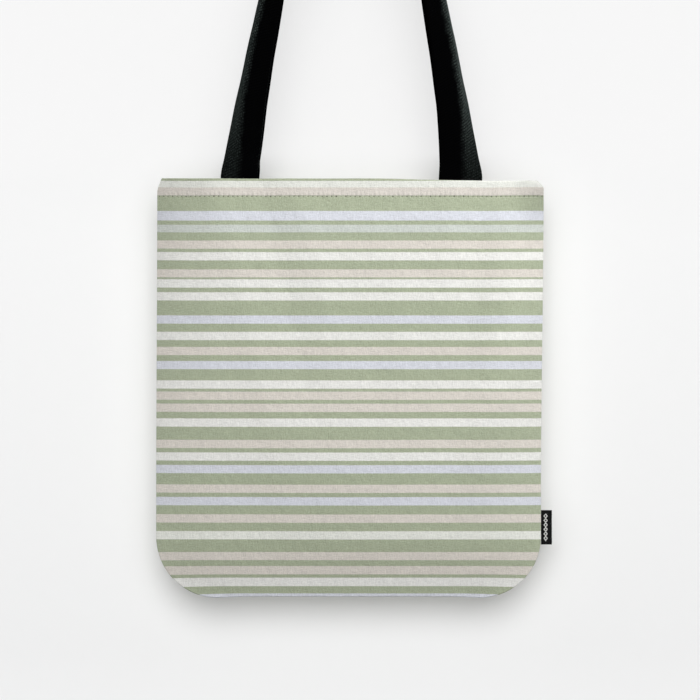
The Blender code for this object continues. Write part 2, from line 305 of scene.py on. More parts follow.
class Shading(Nodes):
    """One material's node tree."""

    def __init__(self, name):
        self.material = bpy.data.materials.new(name)
        super().__init__(self.material)
        self.shader = self.tree.nodes["Principled BSDF"]

    def math(self, operation, a, b=0.0, c=0.0, clamp=False):
        return self.value("ShaderNodeMath", {0: a, 1: b, 2: c}, operation=operation, use_clamp=clamp)

    def mix(self, factor, a, b, blend="MIX"):
        return self.value("ShaderNodeMix", {0: factor, 6: a, 7: b}, 2, data_type="RGBA",
                          blend_type=blend)

    def spread(self, value, low, high):
        """A 0 to 1 value spread over a range."""
        return self.math("MULTIPLY_ADD", value, high - low, low)

    def remap(self, value, low, high, start=0.0, end=1.0, kind="LINEAR"):
        """A value between low and high spread over start to end, and held there beyond."""
        return self.value("ShaderNodeMapRange", {0: value, 1: low, 2: high, 3: start, 4: end},
                          interpolation_type=kind)

    def reach(self, across, down, middle=(0, 0, 0)):
        """How far a place on the cloth is from a middle."""
        place = self.value("ShaderNodeCombineXYZ", {0: across, 1: down})
        return self.value("ShaderNodeVectorMath", {0: place, 1: middle}, "Value",
                          operation="DISTANCE")

    def tint(self, colour, share, tones=None):
        """A colour made lighter or darker by a share that varies over the surface, or by a
        0 to 1 value spread between two tones."""
        if tones:
            share = self.spread(share, *tones)
        grey = self.value("ShaderNodeCombineXYZ", {0: share, 1: share, 2: share})
        return self.mix(1.0, colour, grey, "MULTIPLY")

    def cloth_place(self):
        """Distances across and down the cloth, in metres, from the mesh's own layer."""
        layer = self.value("ShaderNodeUVMap", uv_map="cloth")
        split = self.add("ShaderNodeSeparateXYZ", {0: layer})
        return Value(self, split.outputs[0]), Value(self, split.outputs[1])

    def noise(self, across, down, wide, long, detail=2.0):
        """Noise whose grains are about that wide and long, in metres."""
        place = self.value("ShaderNodeCombineXYZ", {0: across / wide, 1: down / long})
        return self.value("ShaderNodeTexNoise", {"Vector": place, "Scale": 1.0, "Detail": detail},
                          noise_dimensions="2D")

    def ridge(self, distance, pitch):
        """0 between two yarns and 1 on top of each."""
        return abs(self.math("SINE", distance * (pi / pitch)))

    def bump(self, height, distance, before=None):
        inputs = {"Height": height, "Distance": distance, "Strength": 1.0}
        if before is not None:
            inputs["Normal"] = before
        return self.value("ShaderNodeBump", inputs)

    def finish(self, colour, roughness, normal, **constants):
        self.join(colour, self.shader.inputs["Base Color"])
        self.join(roughness, self.shader.inputs["Roughness"])
        self.join(normal, self.shader.inputs["Normal"])
        for socket, value in constants.items():
            self.shader.inputs[socket.replace("_", " ")].default_value = value
        return self.material


def rgba(colour):
    return (*colour, 1.0)


# Materials

def striped(look, down):
    """The print: sage with stripes, each laid on by the distance down the cloth."""
    colour, place = rgba(SAGE), 0.0
    for gap, width, name in STRIPES:
        start = place + gap * MM
        place = start + width * MM
        within = look.math("COMPARE", down, (start + place) / 2, width * MM / 2)
        colour = look.mix(within, colour, rgba(PRINT[name]))
    return colour


def canvas_weave(look, across, down):
    """Height of a plain weave: at each crossing one yarn lies over the other."""
    turn_across = look.math("SINE", across * (pi / YARN))
    turn_down = look.math("SINE", down * (pi / YARN))
    warp, weft = abs(turn_across), abs(turn_down)
    over = look.math("GREATER_THAN", turn_across * turn_down, 0.0)
    warp_top = warp * look.spread(weft, 0.5, 1.0)
    weft_top = weft * look.spread(warp, 0.5, 1.0)
    return weft_top + over * (warp_top - weft_top)


def print_marks(look, colour, across, down, beside, from_row):
    """What the print shows besides its stripes: painted shade round its right top corner, painted
    shade in the needle holes beside the stitches, some of them closed, and painted shade on the hem,
    which is two layers thick."""
    # Painted shade: the print darker round the right top corner.
    corner = look.reach(across, down, CORNER_SHADE_AT)
    colour = look.tint(colour, look.remap(corner, *CORNER_SHADE_REACH, CORNER_SHADE_TONE, 1.0, "SMOOTHSTEP"))
    # Painted shade in the needle holes, some of them closed.
    hole = look.remap(look.reach(beside, from_row + HOLE_LIFT), *HOLE_EDGE) - 1.0
    depth = look.spread(look.noise(across, down, 0.004, 0.02), *HOLE_DEPTHS)
    colour = look.tint(colour, look.math("ADD", hole * depth, 1.0, clamp=True))
    # Painted shade on the hem, which is two layers thick.
    return look.tint(colour, look.remap(from_row, *TURN_EDGE, HEM_SHADE, 1.0))


def canvas(name, printed):
    """Plain-woven cotton canvas, printed on its face or left raw."""
    look = Shading(name)
    across, down = look.cloth_place()
    wander = look.noise(across, down, 0.0011, 0.0009)
    shifted = down + look.spread(wander, -PRINT_WANDER, PRINT_WANDER)
    colour = striped(look, shifted) if printed else rgba(RAW_CANVAS)
    yarns = look.noise(across, down, YARN, YARN_STREAK) + look.noise(across, down, YARN_STREAK, YARN)
    colour = look.tint(colour, yarns, YARN_TONES)
    grain = look.noise(across, down, GRAIN, GRAIN, 1.0) - 0.5
    depth = look.remap(look.value("ShaderNodeRGBToBW", {0: colour}), *INK_PALENESS, *GRAIN_DEPTHS)
    colour = look.tint(colour, look.math("MULTIPLY_ADD", grain, depth, 1.0))
    colour = look.tint(colour, look.noise(across, down, STAIN, STAIN, 3.0), STAIN_TONES)
    weave = canvas_weave(look, across, down)
    # Painted shade between the yarns.
    colour = look.tint(colour, weave, WEAVE_SHADE_TONES)
    beside = look.math("PINGPONG", across, STITCH_PITCH / 2)
    from_row = down - STITCH_ROW
    if printed:
        colour = print_marks(look, colour, across, down, beside, from_row)
    else:
        fleck = look.noise(across, down, 0.0016, 0.0011, 1.0)
        colour = look.mix(look.math("GREATER_THAN", fleck, SEED_SHARE), colour, rgba(SEED_FLECK))
    roughness = look.spread(look.noise(across, down, 0.004, 0.004), 0.82, 0.96)
    normal = look.bump(weave, 0.00016)
    pull = look.math("POWER", (from_row + PULL_HEIGHT) / PULL_HEIGHT, 2.0)
    pull = look.math("EXPONENT", pull * -1.0)
    normal = look.bump(pull * beside, PULL_RELIEF, normal)
    normal = look.bump(yarns, 0.00030, normal)
    normal = look.bump(look.noise(across, down, 0.010, 0.012, 3.0), 0.0010, normal)
    return look.finish(colour, roughness, normal, Sheen_Weight=0.10, Sheen_Roughness=0.5,
                       Specular_IOR_Level=0.15)


def webbing(length):
    """Black tape woven in fine ribs, with painted light on the side that its fold turns to the side
    lights, stronger away from its sewn ends, and painted shade on the other side."""
    look = Shading("black_webbing")
    across, along = look.cloth_place()
    column = look.math("FLOOR", across / RIB)
    pick = look.ridge(along + column * PICK_STEP, PICK)
    weave = look.spread(look.ridge(across, RIB), 0.4, 1.0) * pick
    streak = look.noise(across, along, 0.0012, 0.016)
    wear_and_lit_wander = look.noise(across, along, 0.0035, 0.009, 3.0)
    speck = look.remap(look.noise(across, along, 0.0013, 0.0016, 1.0), 0.32, 0.68, *SPECK_TONES)
    from_end = look.math("PINGPONG", along, length / 2)
    shift = look.remap(from_end, LIT_SHIFT[0], LIT_SHIFT[1], 0.0, LIT_SHIFT[2])
    # Painted light on the side that the fold turns to the side lights, painted shade on the other
    # side.
    place = across + look.spread(wear_and_lit_wander, -LIT_WANDER, LIT_WANDER) + shift
    lit = look.remap(place, *LIT_EDGE, kind="SMOOTHSTEP")
    # The painted light fades at the selvedge.
    lit = lit * look.remap(across, *SELVEDGE, 1.0, SELVEDGE_TONE)
    # The painted light gets stronger away from the sewn ends, where the strap twists towards the side
    # lights.
    lit_gain = look.remap(from_end, STRAP_TAIL, STRAP_TAIL + LIT_GAIN_REACH, *LIT_GAIN_TONES, "SMOOTHSTEP")
    colour = look.mix(lit, rgba(BLACK_SHADED), look.tint(rgba(BLACK_LIT), lit_gain * speck))
    # Painted shade between the yarns, painted light on top of them.
    colour = look.tint(colour, weave, WEBBING_SHADE_TONES)
    colour = look.tint(colour, streak, STREAK_TONES)
    normal = look.bump(streak, 0.00015, look.bump(weave, 0.00045))
    return look.finish(colour, look.spread(wear_and_lit_wander, 0.80, 0.95), normal, Sheen_Weight=0.03,
                       Sheen_Roughness=0.3, Sheen_Tint=(0.75, 1.0, 0.95, 1.0),
                       Specular_IOR_Level=0.01)


def thread(name, colour):
    """Twisted sewing thread: fine slanting strands along each stitch."""
    look = Shading(name)
    across, along = look.cloth_place()
    strand = look.ridge(along + across * 0.5, 0.0004)
    fuzz = look.noise(across, along, 0.0003, 0.0012)
    # Painted shade between the strands.
    tone = look.tint(rgba(colour), strand, (0.70, 1.15))
    tone = look.tint(tone, fuzz, (0.80, 1.20))
    return look.finish(tone, look.spread(fuzz, 0.55, 0.75), look.bump(strand, 0.00006),
                       Sheen_Weight=0.15, Specular_IOR_Level=0.3)


def label_weave():
    """Satin label tape with a woven chain of small diamonds down its middle."""
    look = Shading("label_weave")
    across, down = look.cloth_place()
    rib = look.ridge(down, 0.00035)
    float_yarn = look.ridge(across, 0.0006)
    turn = look.math("PINGPONG", down, DIAMOND_PITCH / 2)
    slant = abs(across - MOTIF_MIDDLE * LABEL_WIDTH) + turn * 0.9
    line = look.math("LESS_THAN", abs(slant - DIAMOND_HALF), DIAMOND_LINE)
    within = look.math("LESS_THAN", abs(down - LABEL_START), MOTIF_HALF_LENGTH)
    motif = line * within * look.spread(rib, 0.55, 1.0)
    colour = look.mix(motif, rgba(LABEL_BLACK), rgba(LABEL_MOTIF))
    # Painted shade between the floating yarns.
    colour = look.tint(colour, float_yarn, (0.75, 1.15))
    return look.finish(colour, look.spread(float_yarn, 0.42, 0.60),
                       look.bump(rib + motif * 1.5, 0.00006),
                       Sheen_Weight=0.02, Specular_IOR_Level=0.08)


def backdrop():
    """Pale matt card, seen from its front only, with painted light: darker towards the bottom, and
    glowing above the hem so that the handles' shadows on it are faint, and down by the floor.
    """
    look = Shading("backdrop")
    place = look.value("ShaderNodeTexCoord", output="Object")
    grain = look.value("ShaderNodeTexNoise", {"Vector": place, "Scale": 60.0, "Detail": 3.0})
    height = look.value("ShaderNodeSeparateXYZ", {0: place}, 2)
    # Painted light: the card lighter at the top and darker towards the bottom.
    grade = look.mix(look.remap(height, *WALL_GRADE), rgba(WALL_LOW), rgba(WALL_HIGH))
    grade = look.tint(grade, grain, (0.995, 1.005))
    # Painted light: above the hem the card glows, so the handles' shadows on it are faint.
    above = look.remap(height, *GLOW_ABOVE, 0.0, 0.7)
    below = look.remap(height, *GLOW_BELOW)
    grade = look.mix(below, grade, rgba(AROUND))
    glow = look.math("ADD", above, below, clamp=True)
    card = look.value("ShaderNodeBsdfDiffuse", {"Color": grade})
    light = look.value("ShaderNodeEmission", {"Color": grade, "Strength": 1.0})
    lit = look.value("ShaderNodeMixShader", {0: glow, 1: card, 2: light})
    clear = look.value("ShaderNodeBsdfTransparent")
    behind = look.value("ShaderNodeNewGeometry", output="Backfacing")
    seen = look.value("ShaderNodeMixShader", {0: behind, 1: lit, 2: clear})
    look.join(seen, look.tree.nodes["Material Output"].inputs["Surface"])
    look.tree.nodes.remove(look.shader)
    return look.material


# Mesh helpers

def new_piece(name, points, faces, places, materials):
    """A mesh object with its cloth distances stored for the materials."""
    mesh = bpy.data.meshes.new(name)
    mesh.from_pydata([tuple(p) for p in points], [], faces)
    layer = mesh.uv_layers.new(name="cloth")
    corners = np.zeros(len(mesh.loops), np.int32)
    mesh.loops.foreach_get("vertex_index", corners)
    layer.data.foreach_set("uv", np.asarray(places, float)[corners].ravel())
    for material in materials:
        mesh.materials.append(material)
    mesh.shade_smooth()
    thing = bpy.data.objects.new(name, mesh)
    bpy.context.scene.collection.objects.link(thing)
    return thing


def thicken(thing, thickness, **settings):
    """Make a sheet's mesh a solid one, with half its thickness on each side."""
    solid = thing.modifiers.new("thickness", "SOLIDIFY")
    solid.thickness, solid.offset = thickness, 0.0
    for key, value in settings.items():
        setattr(solid, key, value)
    bpy.context.view_layer.update()
    shown = thing.evaluated_get(bpy.context.evaluated_depsgraph_get())
    mesh = bpy.data.meshes.new_from_object(shown)
    thing.modifiers.clear()
    thing.data = mesh
    mesh.name = thing.name


def grid_faces(rows, columns, first=0, closed=False):
    """The four-cornered faces of a grid of points, whose rows may close on themselves."""
    faces = []
    for row in range(first, first + (rows - 1) * columns, columns):
        for i in range(columns if closed else columns - 1):
            j = (i + 1) % columns
            faces.append((row + i, row + j, row + columns + j, row + columns + i))
    return faces


def tube_faces(rings, sides, first=0):
    """The faces of a tube with both ends closed."""
    last = first + (rings - 1) * sides
    ends = [tuple(reversed(range(first, first + sides))), tuple(range(last, last + sides))]
    return grid_faces(rings, sides, first, True) + ends


def smoothstep(value, low, high):
    share = np.clip((value - low) / (high - low), 0.0, 1.0)
    return share * share * (3 - 2 * share)


# The hanging cloth

def half_width(height):
    """Half the width at a height over the bottom seam, where the seam's fold begins."""
    radius = CORNER_RADIUS - EDGE_INSET
    rise = np.clip(radius - np.maximum(height - EDGE_INSET, 0.0), 0.0, radius)
    return HALF - CORNER_RADIUS + np.sqrt(radius ** 2 - rise ** 2)


def stand_out(height):
    """How far the flat middle of a panel stands out from the seam at a height."""
    top = BAG_HEIGHT - UPRIGHT_BAND
    share = np.minimum(1.0, LOW_SHARE + (1 - LOW_SHARE) * height / top)
    roll = np.clip((height - EDGE_INSET) / BOTTOM_ROLL, 0.0, 1.0)
    return MOUTH_DEPTH * share * np.sin(pi / 2 * roll)


def soft_folds(x, drop, folds):
    """The height of the soft folds at a place on a panel, drop being down from the hem."""
    rise = np.zeros_like(x * drop)
    for across, down, wide, long, lean, high in folds:
        a, d = x / MM - across, drop / MM - down
        turn = radians(lean)
        over = a * cos(turn) - d * sin(turn)
        along = a * sin(turn) + d * cos(turn)
        rise += high * MM * np.exp(-(over / wide) ** 2 - (along / long) ** 2)
    return rise


def hem_drop(x):
    """How much lower the hem's top hangs at a place across, than its left end."""
    wave = 0.00025 * np.sin(x / 0.021) * np.sin(x / 0.058 + 1.0)
    return 0.0004 + RIGHT_DROP * smoothstep(x, -0.01, 0.15) - wave


def cloth_point(across, height, inward, folds):
    """The middle of a panel's cloth: x, distance out from the mid-plane, z, and how far
    down the print that is.

    across runs from -1 to 1, height is over the bottom seam and inward is how far the
    turned-in hem lies behind the face."""
    edge = np.abs(across)
    low = 1 - smoothstep(height, 0.10, BAG_HEIGHT)
    half = half_width(height) - 0.0008 * low
    x = across * half - LEAN_LEFT * low
    for side, (pull, span) in ((-1, LEFT_CORNER), (1, RIGHT_CORNER)):
        near = np.where(across * side > 0, smoothstep(edge, 0.90, 1.0), 0.0)
        up = np.clip((height - (BAG_HEIGHT - span)) / span, 0.0, 1.0)
        x = x - side * pull * near * up ** 1.4
    flank = np.maximum(0.0, (edge - FLAT_SHARE) / (1 - FLAT_SHARE))
    out = EDGE_OUT + stand_out(height) * np.cos(pi / 2 * flank)
    drop = BAG_HEIGHT - height
    held = (1 - edge ** 24) * np.clip((height - EDGE_INSET) / BOTTOM_ROLL, 0.0, 1.0)
    out = out + held * soft_folds(x, drop, folds)
    high = (height - RISE_FROM) / (BAG_HEIGHT - RISE_FROM)
    rise = SEAM_RISE * (1 - np.cos(pi / 2 * flank)) * np.maximum(high, 0.42 * high)
    z = BOTTOM + height - hem_drop(x) * smoothstep(height, BAG_HEIGHT - 0.030, BAG_HEIGHT)
    return x, out - inward, z + rise, HEM - z


def crinkle(points, side):
    """Small random waves of the cloth, the same at each run."""
    return np.array([noise.noise(Vector((x / 0.030, 7.0 * side, z / 0.042))) * 0.00035
                     + noise.noise(Vector((x / 0.009, 3.0 * side, z / 0.012))) * 0.00006
                     for x, z in points])


def pucker(drop):
    """The cloth drawn in along the hem's row of stitches."""
    return -0.00022 * np.exp(-((drop - STITCH_ROW) / 0.0013) ** 2)


def panel_rows():
    """Rows of the sheet: (height, inward, how far the cloth has folded over the top)."""
    fold_start = BAG_HEIGHT - CANVAS / 2 - FOLD_RADIUS
    low = EDGE_INSET + (CORNER_RADIUS - EDGE_INSET) * (1 - np.cos(np.linspace(0, pi / 2, 22)))
    middle = np.linspace(CORNER_RADIUS, BAG_HEIGHT - 0.026, 72)[1:]
    near_hem = np.linspace(BAG_HEIGHT - 0.026, fold_start, 27)[1:]
    rows = [(height, 0.0, 0.0) for height in (*low, *middle, *near_hem)]
    for step in range(1, 9):
        turn = pi * step / 8
        rows.append((fold_start + FOLD_RADIUS * sin(turn), FOLD_RADIUS * (1 - cos(turn)), turn))
    for height in np.linspace(fold_start, BAG_HEIGHT - HEM_DEPTH, 12)[1:]:
        rows.append((height, 2 * FOLD_RADIUS, pi))
    return rows


def panel_columns():
    """Stations across the sheet from -1 to 1, closer together at the flanks."""
    count = 300
    even = np.linspace(-1, 1, count)
    return even + 0.02 * np.sin(pi * even) * -np.abs(even)


def seam_ribbon(points, places, width, count, fold_rows):
    """The sheet's edge past its last column or row: it turns in and runs back as allowance."""
    last = count + fold_rows - 1
    left = [row * width for row in range(last, 0, -1)]
    bottom = list(range(width))
    right = [row * width + width - 1 for row in range(1, last + 1)]
    edge = left + bottom + right
    rim, rim_places = points[edge], places[edge]
    along = np.roll(rim, -1, 0) - np.roll(rim, 1, 0)
    along[0], along[-1] = (0, 0, -1), (0, 0, 1)
    along[:, 1] = 0
    along /= np.linalg.norm(along, axis=1)[:, None]
    outward = np.stack([along[:, 2], np.zeros(len(edge)), -along[:, 0]], 1)
    turns = np.linspace(SEAM_TILT, pi, 8)[1:]
    radius = (rim[:, 1] - ALLOWANCE_Y) / (1 + cos(SEAM_TILT))
    strips = []
    for turn in turns:
        at = rim + outward * (radius * (sin(turn) - sin(SEAM_TILT)))[:, None]
        at[:, 1] = ALLOWANCE_Y + radius * (1 + cos(turn))
        strips.append((at, radius * (turn - SEAM_TILT)))
    for back in (0.003, 0.006, ALLOWANCE):
        at = rim - outward * (radius * sin(SEAM_TILT) + back)[:, None]
        at[:, 1] = ALLOWANCE_Y
        strips.append((at, radius * pi + back))
    strip_places = [rim_places + np.stack([outward[:, 0], -outward[:, 2]], 1) * far[:, None]
                    for _, far in strips]
    lowest = HEM - HEM_DEPTH - 0.002
    in_allowance = rim[:, 2] <= lowest
    start = len(points)
    faces = []
    rings = [edge] + [range(start + k * len(edge), start + (k + 1) * len(edge))
                      for k in range(len(strips))]
    for k, (near, far) in enumerate(zip(rings, rings[1:])):
        for b in range(len(edge) - 1):
            if k < len(turns) or (in_allowance[b] and in_allowance[b + 1]):
                faces.append((near[b], far[b], far[b + 1], near[b + 1]))
    new_points = np.concatenate([at for at, _ in strips])
    return np.concatenate([points, new_points]), np.concatenate([places, *strip_places]), faces


def build_panel(name, side, folds, face, back):
    """One panel: a single sheet from the allowance round to the hem's turned-in edge."""
    columns, rows = panel_columns(), panel_rows()
    across, height = np.meshgrid(columns, [row[0] for row in rows])
    inward = np.array([row[1] for row in rows])[:, None]
    turn = np.array([row[2] for row in rows])[:, None]
    x, out, z, drop = cloth_point(across, height, inward, folds)
    folded = turn / pi
    x = x - np.sign(across) * smoothstep(np.abs(across), 0.90, 1.0) * 0.0012 * folded
    plain = np.stack([x.ravel(), z.ravel()], 1)
    held = (1 - np.abs(across) ** 10) * smoothstep(height, 0.0, 0.02)
    out = out + held * (crinkle(plain, side).reshape(x.shape) + pucker(drop))
    points = np.stack([x.ravel(), out.ravel(), z.ravel()], 1)
    down = np.where(turn < pi / 2, drop, 2 * hem_drop(x) - drop)
    places = np.stack([x.ravel(), down.ravel()], 1)
    width, outside = len(columns), sum(1 for row in rows if row[2] == 0.0)
    points, places, ribbon = seam_ribbon(points, places, width, outside, 7)
    faces = grid_faces(len(rows), width) + ribbon
    points[:, 1] *= side
    if side > 0:
        faces = [face_corners[::-1] for face_corners in faces]
    used = sorted({corner for face_corners in faces for corner in face_corners})
    order = {corner: k for k, corner in enumerate(used)}
    faces = [tuple(order[corner] for corner in face_corners) for face_corners in faces]
    thing = new_piece(name, points[used], faces, places[used], (face, back))
    thicken(thing, CANVAS, use_even_offset=True, material_offset=1, material_offset_rim=1)
    return thing


# Stitching

def stitches(name, runs, radius, material, sides=6):
    """A row of stitches as one piece. A run is (points of its line, directions off the cloth)."""
    points, places, faces = [], [], []
    for line, lifts in runs:
        first = len(points)
        gone = 0.0
        for k, (at, lift) in enumerate(zip(line, lifts)):
            ahead = line[min(k + 1, len(line) - 1)] - line[max(k - 1, 0)]
            along = ahead.normalized()
            cross = along.cross(lift).normalized()
            up = cross.cross(along)
            gone += (at - line[max(k - 1, 0)]).length
            size = radius * (0.45 if k in (0, len(line) - 1) else 1.0)
            for corner in range(sides):
                turn = 2 * pi * corner / sides
                points.append(at + size * (cos(turn) * cross + sin(turn) * up))
                places.append((corner * radius, gone))
        faces += tube_faces(len(line), sides, first)
    return new_piece(name, points, faces, places, (material,))


def stitch_run(start, end, lift, sink):
    """One stitch that rises from the cloth, lies along it and dips in again."""
    line = []
    for share, depth in ((0.0, 1.0), (0.08, 0.35), (0.25, 0.0), (0.75, 0.0), (0.92, 0.35), (1.0, 1.0)):
        line.append(start.lerp(end, share) - lift * sink * depth)
    return line, [lift] * len(line)


def face_place(x, drop, side, folds, off):
    """A point on a panel's face, off it by a distance, and the direction out of the face."""
    height = np.array(BAG_HEIGHT - drop)
    across = x / half_width(height)
    px, out, z, down = cloth_point(across, height, 0.0, folds)
    out = out + crinkle([(float(px), float(z))], side)[0] + pucker(down)
    ahead_x, ahead_out, _, _ = cloth_point(across + 0.01, height, 0.0, folds)
    slope = (ahead_out - out) / (ahead_x - px)
    lift = Vector((-slope, 1.0, 0.0)).normalized()
    at = Vector((px, out, z)) + lift * off
    return Vector((at.x, at.y * side, at.z)), Vector((lift.x, lift.y * side, 0.0))


def build_hem_stitches(name, side, folds, material):
    """The row that holds the hem, seen on the face of the cloth."""
    runs = []
    count = 2 * int((HALF - 0.006) / STITCH_PITCH)
    for k in range(count):
        middle = (k - (count - 1) / 2) * STITCH_PITCH
        ends = [face_place(middle + step * STITCH_LENGTH / 2, STITCH_ROW, side, folds,
                           CANVAS / 2 + THREAD_RADIUS * 0.6) for step in (-1, 1)]
        (start, lift), (end, _) = ends
        runs.append(stitch_run(start, end, lift, 2.6 * THREAD_RADIUS))
    return stitches(name, runs, THREAD_RADIUS, material)


def seam_line(inset, top, step):
    """Points a step apart along a line at an inset from the seam, and the way out of the bag."""
    found = []
    radius = CORNER_RADIUS - inset
    straight = HALF - CORNER_RADIUS
    left_side = [(inset - HALF, top - k * step, -1.0, 0.0)
                 for k in range(int((top - BOTTOM - CORNER_RADIUS) / step) + 1)]
    turns = int(radius * pi / 2 / step)
    corner = [(-straight - radius * cos(a), BOTTOM + CORNER_RADIUS - radius * sin(a),
               -cos(a), -sin(a)) for a in (pi / 2 * (k + 0.5) / turns for k in range(turns))]
    base = [((k + 0.5) * step - straight, BOTTOM + inset, 0.0, -1.0)
            for k in range(int(straight / step))]
    left = left_side + corner + base
    for x, z, out_x, out_z in left + [(-x, z, -ox, oz) for x, z, ox, oz in reversed(left)]:
        low = 1 - float(smoothstep(z - BOTTOM, 0.10, BAG_HEIGHT))
        found.append((Vector((x * (1 - 0.0042 * low) - LEAN_LEFT * low, 0.0, z)),
                      Vector((out_x, 0.0, out_z))))
    return found


def build_seam_stitches(material):
    """The lock stitches that close the seam, on both faces of the allowance."""
    pitch, length = 0.0032, 0.0026
    line = seam_line(SEAM_STITCH_INSET, HEM - HEM_DEPTH - 0.004, pitch)
    runs = []
    for side in (-1, 1):
        lift = Vector((0.0, side, 0.0))
        off = lift * (ALLOWANCE_Y + CANVAS / 2 + THREAD_RADIUS * 0.7)
        for at, out in line:
            along = Vector((out.z, 0.0, -out.x)) * (length / 2)
            runs.append(stitch_run(at - along + off, at + along + off, lift, 2 * THREAD_RADIUS))
    return stitches("seam_stitches", runs, THREAD_RADIUS, material)


def build_overlock(material):
    """Thread looped over the raw edges all the way round, so that they don't fray."""
    pitch, reach = 0.0030, 0.0042
    radius = 0.00022
    half_stack = ALLOWANCE_Y + CANVAS / 2 + radius * 0.8
    line = seam_line(ALLOWANCE + 0.0009, HEM - HEM_DEPTH - 0.006, pitch)
    path, lifts = [], []
    loop = ((0.0, 1.0), (0.5, 1.0), (1.0, 0.7), (1.08, 0.0), (1.0, -0.7), (0.5, -1.0), (0.0, -1.0),
            (-0.04, -0.4), (-0.04, 0.4))
    for at, out in line:
        along = Vector((-out.z, 0.0, out.x))
        for k, (inward, across) in enumerate(loop):
            shift = along * (k / len(loop) - 0.5) * pitch * 0.9
            edge = at + out * (reach - 0.0003) - out * (inward * reach)
            path.append(edge + shift + Vector((0.0, across * half_stack, 0.0)))
            lifts.append(Vector((0.0, 1.0 if across > 0 else -1.0, 0.0)) * 0.5 - out)
    return stitches("overlock_stitches", [(path, lifts)], radius, material, sides=5)


# The handles

def smooth_route(route, steps):
    """Points of a Catmull-Rom curve through the route, with its ends extended."""
    ends = [[2 * a - b for a, b in zip(route[0], route[1])], *route,
            [-route[-2][1] if k == 1 else v for k, v in enumerate(route[-2])]]
    found = []
    for p0, p1, p2, p3 in zip(ends, ends[1:], ends[2:], ends[3:]):
        for step in range(steps):
            t = step / steps
            found.append([
                b + 0.5 * t * (c - a + t * (2 * a - 5 * b + 4 * c - d + t * (3 * (b - c) + d - a)))
                for a, b, c, d in zip(p0, p1, p2, p3)])
    return found + [list(route[-1])]


def handle_sections():
    """(fold point, direction out of the arch, inner turn, outer turn, tuck) from tail to tail."""
    start = HANDLE_ROUTE[0]
    tail = [[-STRAP_TAIL / MM + k * (STRAP_TAIL / MM + start[0]) / 12, start[1], 0, 0]
            for k in range(12)]
    left = tail + smooth_route(HANDLE_ROUTE, 6)
    rows = [(-x, h, a, b) for h, x, a, b in left]
    rows += [(x, h, a, b) for h, x, a, b in reversed(left[:-1])]
    sections = []
    for k, (x, h, inner, outer) in enumerate(rows):
        before, after = rows[max(k - 1, 0)], rows[min(k + 1, len(rows) - 1)]
        along = Vector((after[0] - before[0], 0.0, after[1] - before[1])).normalized()
        out = Vector((-along.z, 0.0, along.x))
        rise = h * MM
        y = STRAP_Y - max(rise - JOINT_RISE, 0.0) * tan(HANDLE_LEAN)
        sway = ARCH_SWAY * (0.45 + 0.55 * float(smoothstep(rise, 0.0, 0.25)))
        curl, tuck = 0.0, 0.0
        if x < 0:
            curl = LEFT_CURL * exp(-max(rise, 0.0) / 0.055) * float(smoothstep(rise, 0.004, 0.024))
            tuck = smoothstep(rise, -0.006, -0.001) * (1 - smoothstep(rise, 0.002, 0.026))
            tuck = LEFT_TUCK * float(tuck)
        place = Vector((x * MM + sway, y, HEM + rise))
        sections.append((place, out, radians(inner) - curl, radians(outer), tuck))
    return sections


def handle_length():
    """The length of one handle's webbing, from end to end."""
    places = [section[0] for section in handle_sections()]
    return sum((after - before).length for before, after in zip(places, places[1:]))


def webbing_middle(across, section, folds):
    """The webbing's middle at a station, in the front handle's place with y counted outward."""
    fold, out, inner, outer, tuck = section
    reach = STRAP_OUTER if across > 0 else STRAP_INNER - tuck
    side = 1 if across > 0 else -1
    steps = 10
    point = fold.copy()
    for step in range(steps):
        gone = abs(across) * reach * (step + 0.5) / steps
        blend = min(1.0, max(0.0, 0.5 + side * gone / FOLD_WIDTH))
        turn = inner + (outer - inner) * blend
        point += side * abs(across) * reach / steps * (cos(turn) * out - sin(turn) * Vector((0, 1, 0)))
    drop = np.array(max(HEM - point.z, 0.0))
    fade = 1 - float(smoothstep(point.z - HEM, 0.0, 0.09))
    point.y += fade * float(soft_folds(np.array(point.x), drop, folds))
    return point


def webbing_outline():
    """Stations round the webbing: (across, side of the tape, share of its thickness)."""
    across = [float(a) for a in np.linspace(-1, 1, 17)]
    bulge = [0.55 + 0.45 * min(1.0, (1 - abs(a)) / 0.06) for a in across]
    face = [(a, 1, b) for a, b in zip(across, bulge)]
    back = [(a, -1, b) for a, b in zip(across[::-1], bulge[::-1])]
    return face + [(1.0, 0, 0.0)] + back + [(-1.0, 0, 0.0)]


def build_handle(name, side, folds, material):
    """One continuous length of webbing, sewn tail to sewn tail, and the ends of its bend."""
    sections = handle_sections()
    outline = webbing_outline()
    stations = sorted({a for a, _, _ in outline})
    middles = [[webbing_middle(a, section, folds) for a in stations] for section in sections]
    points, places = [], []
    gone = 0.0
    for k, row in enumerate(middles):
        before, after = middles[max(k - 1, 0)], middles[min(k + 1, len(middles) - 1)]
        gone += (sections[k][0] - sections[max(k - 1, 0)][0]).length
        for across, facing, share in outline:
            i = stations.index(across)
            sideways = row[min(i + 1, len(row) - 1)] - row[max(i - 1, 0)]
            along = after[i] - before[i]
            normal = sideways.cross(along).normalized()
            at = row[i] + normal * (facing * share * STRAP_THICKNESS / 2)
            if facing == 0:
                at += sideways.normalized() * (0.0004 if across > 0 else -0.0004)
            points.append(Vector((at.x, at.y * side, at.z)))
            reach = STRAP_OUTER if across > 0 else STRAP_INNER
            places.append((across * reach, gone))
    faces = tube_faces(len(middles), len(outline))
    if side > 0:
        faces = [face[::-1] for face in faces]
    thing = new_piece(name, points, faces, places, (material,))
    return thing, *((0, side * STRAP_Y, HEM + rise) for rise in BEND_BAND)


